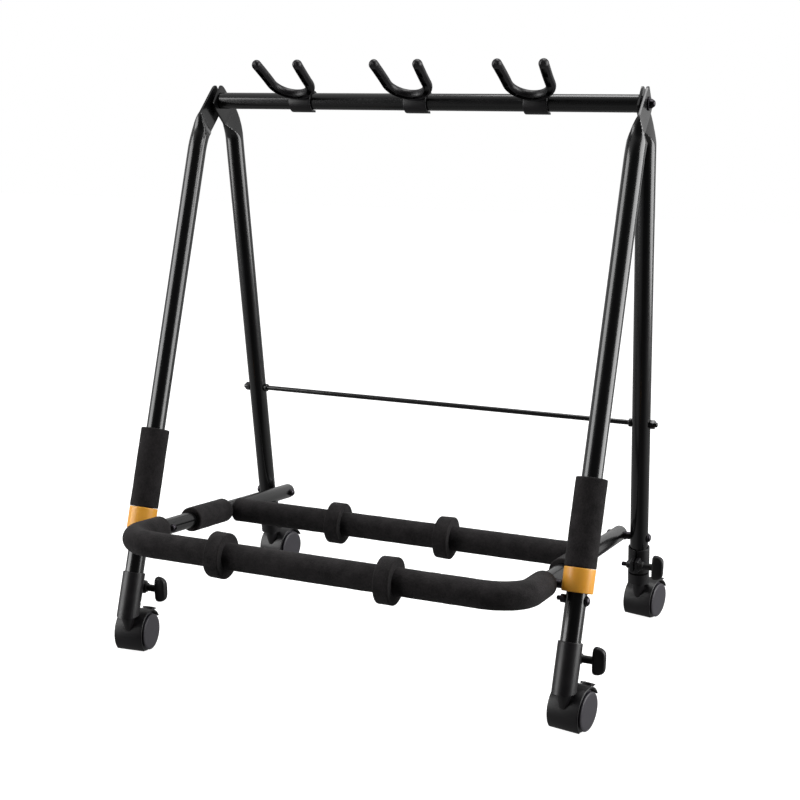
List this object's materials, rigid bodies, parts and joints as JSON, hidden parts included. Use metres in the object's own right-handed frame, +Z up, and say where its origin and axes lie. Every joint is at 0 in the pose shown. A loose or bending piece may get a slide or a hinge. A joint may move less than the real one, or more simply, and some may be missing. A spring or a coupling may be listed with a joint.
{
  "type": "guitar rack",
  "caption": "Folding guitar rack on casters: hinged tube frames, neck yokes on a top bar, and a foam-padded lower rest with divider rings.",
  "frame": {"origin": "on the floor, in the middle of the rack's footprint as it stands", "axes": "+X along the top bar to the right, +Y to the back, +Z up; the neck yokes and the foam bar face -Y"},
  "size_m": [0.6798, 0.5602, 0.7867],
  "materials": {
    "black_enamel": "gloss black enamel on steel tube",
    "black_foam": "matt black closed-cell foam",
    "black_plastic": "moulded black plastic with a fine texture",
    "yellow_plastic": "satin warm yellow plastic",
    "black_steel": "black oxide steel",
    "wheel_plastic": "satin dark grey plastic"
  },
  "bodies": {
    "front_frame": {"top_bar": "black_enamel", "front_leg_left": "black_enamel", "front_leg_right": "black_enamel", "top_bolt_left": "black_steel", "top_bolt_right": "black_steel", "stop_bolt_left": "black_steel", "stop_bolt_right": "black_steel"},
    "rear_frame": {"rear_leg_left": "black_enamel", "rear_leg_right": "black_enamel", "stabilizer_rod": "black_enamel"},
    "rest_frame": {"rest_tube": "black_enamel", "cross_tube": "black_enamel", "front_foam": "black_foam", "cross_foam": "black_foam", "side_foam_left": "black_foam", "side_foam_right": "black_foam", "front_pivot_bolt_left": "black_steel", "front_pivot_bolt_right": "black_steel", "rear_pivot_bolt_left": "black_steel", "rear_pivot_bolt_right": "black_steel"},
    "grip_left": {"grip_collar_left": "yellow_plastic", "grip_foam_left": "black_foam"},
    "grip_right": {"grip_collar_right": "yellow_plastic", "grip_foam_right": "black_foam"},
    "neck_yoke_left": {"yoke_left": "black_plastic"},
    "neck_yoke_middle": {"yoke_middle": "black_plastic"},
    "neck_yoke_right": {"yoke_right": "black_plastic"},
    "divider_front_left": {"divider_ring_front_left": "black_foam"},
    "divider_front_right": {"divider_ring_front_right": "black_foam"},
    "divider_rear_left": {"divider_ring_rear_left": "black_foam"},
    "divider_rear_right": {"divider_ring_rear_right": "black_foam"},
    "clamp_front_left": {"socket_front_left": "black_plastic"},
    "screw_front_left": {"wing_screw_front_left": "black_plastic"},
    "caster_front_left": {"caster_hood_front_left": "black_plastic"},
    "wheels_front_left": {"axle_front_left": "black_steel", "wheel_front_left_a": "wheel_plastic", "wheel_front_left_b": "wheel_plastic"},
    "brake_front_left": {"brake_tab_front_left": "black_plastic"},
    "clamp_front_right": {"socket_front_right": "black_plastic"},
    "screw_front_right": {"wing_screw_front_right": "black_plastic"},
    "caster_front_right": {"caster_hood_front_right": "black_plastic"},
    "wheels_front_right": {"axle_front_right": "black_steel", "wheel_front_right_a": "wheel_plastic", "wheel_front_right_b": "wheel_plastic"},
    "brake_front_right": {"brake_tab_front_right": "black_plastic"},
    "clamp_rear_left": {"socket_rear_left": "black_plastic"},
    "screw_rear_left": {"wing_screw_rear_left": "black_plastic"},
    "caster_rear_left": {"caster_hood_rear_left": "black_plastic"},
    "wheels_rear_left": {"axle_rear_left": "black_steel", "wheel_rear_left_a": "wheel_plastic", "wheel_rear_left_b": "wheel_plastic"},
    "brake_rear_left": {"brake_tab_rear_left": "black_plastic"},
    "clamp_rear_right": {"socket_rear_right": "black_plastic"},
    "screw_rear_right": {"wing_screw_rear_right": "black_plastic"},
    "caster_rear_right": {"caster_hood_rear_right": "black_plastic"},
    "wheels_rear_right": {"axle_rear_right": "black_steel", "wheel_rear_right_a": "wheel_plastic", "wheel_rear_right_b": "wheel_plastic"},
    "brake_rear_right": {"brake_tab_rear_right": "black_plastic"}
  },
  "joints": [
    {"name": "rear_fold", "type": "hinge", "parent": "front_frame", "child": "rear_frame", "pos_m": [-0.00617, 0.09433, 0.73257], "axis": [1, 0, 0], "range_deg": [-23.67, 0]},
    {"name": "rest_lift", "type": "hinge", "parent": "rear_frame", "child": "rest_frame", "pos_m": [-0.00617, 0.21317, 0.13027], "axis": [1, 0, 0], "range_deg": [-60.63, 0]},
    {"name": "grip_slide_left", "type": "slide", "parent": "front_frame", "child": "grip_left", "axis": [0, 0.3453, 0.9385], "range_m": [0, 0.3361]},
    {"name": "grip_slide_right", "type": "slide", "parent": "front_frame", "child": "grip_right", "axis": [0, 0.3453, 0.9385], "range_m": [0, 0.3361]},
    {"name": "yoke_slide_left", "type": "slide", "parent": "front_frame", "child": "neck_yoke_left", "axis": [1, 0, 0], "range_m": [-0.045, 0.045]},
    {"name": "yoke_slide_middle", "type": "slide", "parent": "front_frame", "child": "neck_yoke_middle", "axis": [1, 0, 0], "range_m": [-0.045, 0.045]},
    {"name": "yoke_slide_right", "type": "slide", "parent": "front_frame", "child": "neck_yoke_right", "axis": [1, 0, 0], "range_m": [-0.045, 0.045]},
    {"name": "divider_slide_front_left", "type": "slide", "parent": "rest_frame", "child": "divider_front_left", "axis": [1, 0, 0], "range_m": [-0.055, 0.055]},
    {"name": "divider_slide_front_right", "type": "slide", "parent": "rest_frame", "child": "divider_front_right", "axis": [1, 0, 0], "range_m": [-0.055, 0.055]},
    {"name": "divider_slide_rear_left", "type": "slide", "parent": "rest_frame", "child": "divider_rear_left", "axis": [1, 0, 0], "range_m": [-0.055, 0.055]},
    {"name": "divider_slide_rear_right", "type": "slide", "parent": "rest_frame", "child": "divider_rear_right", "axis": [1, 0, 0], "range_m": [-0.055, 0.055]},
    {"name": "leg_length_front_left", "type": "slide", "parent": "front_frame", "child": "clamp_front_left", "axis": [0, -0.3453, -0.9385], "range_m": [0, 0.03]},
    {"name": "clamp_turn_front_left", "type": "hinge", "parent": "clamp_front_left", "child": "screw_front_left", "pos_m": [-0.31227, -0.15199, 0.0887], "axis": [1, 0, 0], "continuous": true},
    {"name": "swivel_front_left", "type": "hinge", "parent": "clamp_front_left", "child": "caster_front_left", "pos_m": [-0.31227, -0.1869, 0.05897], "axis": [0, 0, 1], "continuous": true},
    {"name": "roll_front_left", "type": "hinge", "parent": "caster_front_left", "child": "wheels_front_left", "pos_m": [-0.31504, -0.16055, 0.02697], "axis": [0.9945, 0.1045, 0], "continuous": true},
    {"name": "brake_front_left", "type": "hinge", "parent": "caster_front_left", "child": "brake_front_left", "pos_m": [-0.30709, -0.1453, 0.05636], "axis": [0.9945, 0.1045, 0], "range_deg": [-8, 0]},
    {"name": "leg_length_front_right", "type": "slide", "parent": "front_frame", "child": "clamp_front_right", "axis": [0, -0.3453, -0.9385], "range_m": [0, 0.03]},
    {"name": "clamp_turn_front_right", "type": "hinge", "parent": "clamp_front_right", "child": "screw_front_right", "pos_m": [0.29993, -0.15199, 0.0887], "axis": [1, 0, 0], "continuous": true},
    {"name": "swivel_front_right", "type": "hinge", "parent": "clamp_front_right", "child": "caster_front_right", "pos_m": [0.29993, -0.1869, 0.05897], "axis": [0, 0, 1], "continuous": true},
    {"name": "roll_front_right", "type": "hinge", "parent": "caster_front_right", "child": "wheels_front_right", "pos_m": [0.30453, -0.16081, 0.02697], "axis": [0.9848, -0.1736, 0], "continuous": true},
    {"name": "brake_front_right", "type": "hinge", "parent": "caster_front_right", "child": "brake_front_right", "pos_m": [0.31638, -0.14834, 0.05636], "axis": [0.9848, -0.1736, 0], "range_deg": [-8, 0]},
    {"name": "leg_length_rear_left", "type": "slide", "parent": "rear_frame", "child": "clamp_rear_left", "axis": [0, 0.1461, -0.9893], "range_m": [0, 0.03]},
    {"name": "clamp_turn_rear_left", "type": "hinge", "parent": "clamp_rear_left", "child": "screw_rear_left", "pos_m": [-0.30477, 0.19591, 0.09319], "axis": [1, 0, 0], "continuous": true},
    {"name": "swivel_rear_left", "type": "hinge", "parent": "clamp_rear_left", "child": "caster_rear_left", "pos_m": [-0.30477, 0.2237, 0.05897], "axis": [0, 0, 1], "continuous": true},
    {"name": "roll_rear_left", "type": "hinge", "parent": "caster_rear_left", "child": "wheels_rear_left", "pos_m": [-0.30062, 0.24988, 0.02697], "axis": [0.9877, -0.1564, 0], "continuous": true},
    {"name": "brake_rear_left", "type": "hinge", "parent": "caster_rear_left", "child": "brake_rear_left", "pos_m": [-0.289, 0.26255, 0.05636], "axis": [0.9877, -0.1564, 0], "range_deg": [-8, 0]},
    {"name": "leg_length_rear_right", "type": "slide", "parent": "rear_frame", "child": "clamp_rear_right", "axis": [0, 0.1461, -0.9893], "range_m": [0, 0.03]},
    {"name": "clamp_turn_rear_right", "type": "hinge", "parent": "clamp_rear_right", "child": "screw_rear_right", "pos_m": [0.29243, 0.19591, 0.09319], "axis": [1, 0, 0], "continuous": true},
    {"name": "swivel_rear_right", "type": "hinge", "parent": "clamp_rear_right", "child": "caster_rear_right", "pos_m": [0.29243, 0.2237, 0.05897], "axis": [0, 0, 1], "continuous": true},
    {"name": "roll_rear_right", "type": "hinge", "parent": "caster_rear_right", "child": "wheels_rear_right", "pos_m": [0.29794, 0.24962, 0.02697], "axis": [0.9781, -0.2079, 0], "continuous": true},
    {"name": "brake_rear_right", "type": "hinge", "parent": "caster_rear_right", "child": "brake_rear_right", "pos_m": [0.31021, 0.26167, 0.05636], "axis": [0.9781, -0.2079, 0], "range_deg": [-8, 0]}
  ],
  "couplings": [
    {"joint": "rest_lift", "follows": "rear_fold", "ratio": 2.5594},
    {"joint": "grip_slide_left", "follows": "rear_fold", "m_per_rad": -0.81296},
    {"joint": "grip_slide_right", "follows": "rear_fold", "m_per_rad": -0.81296}
  ]
}
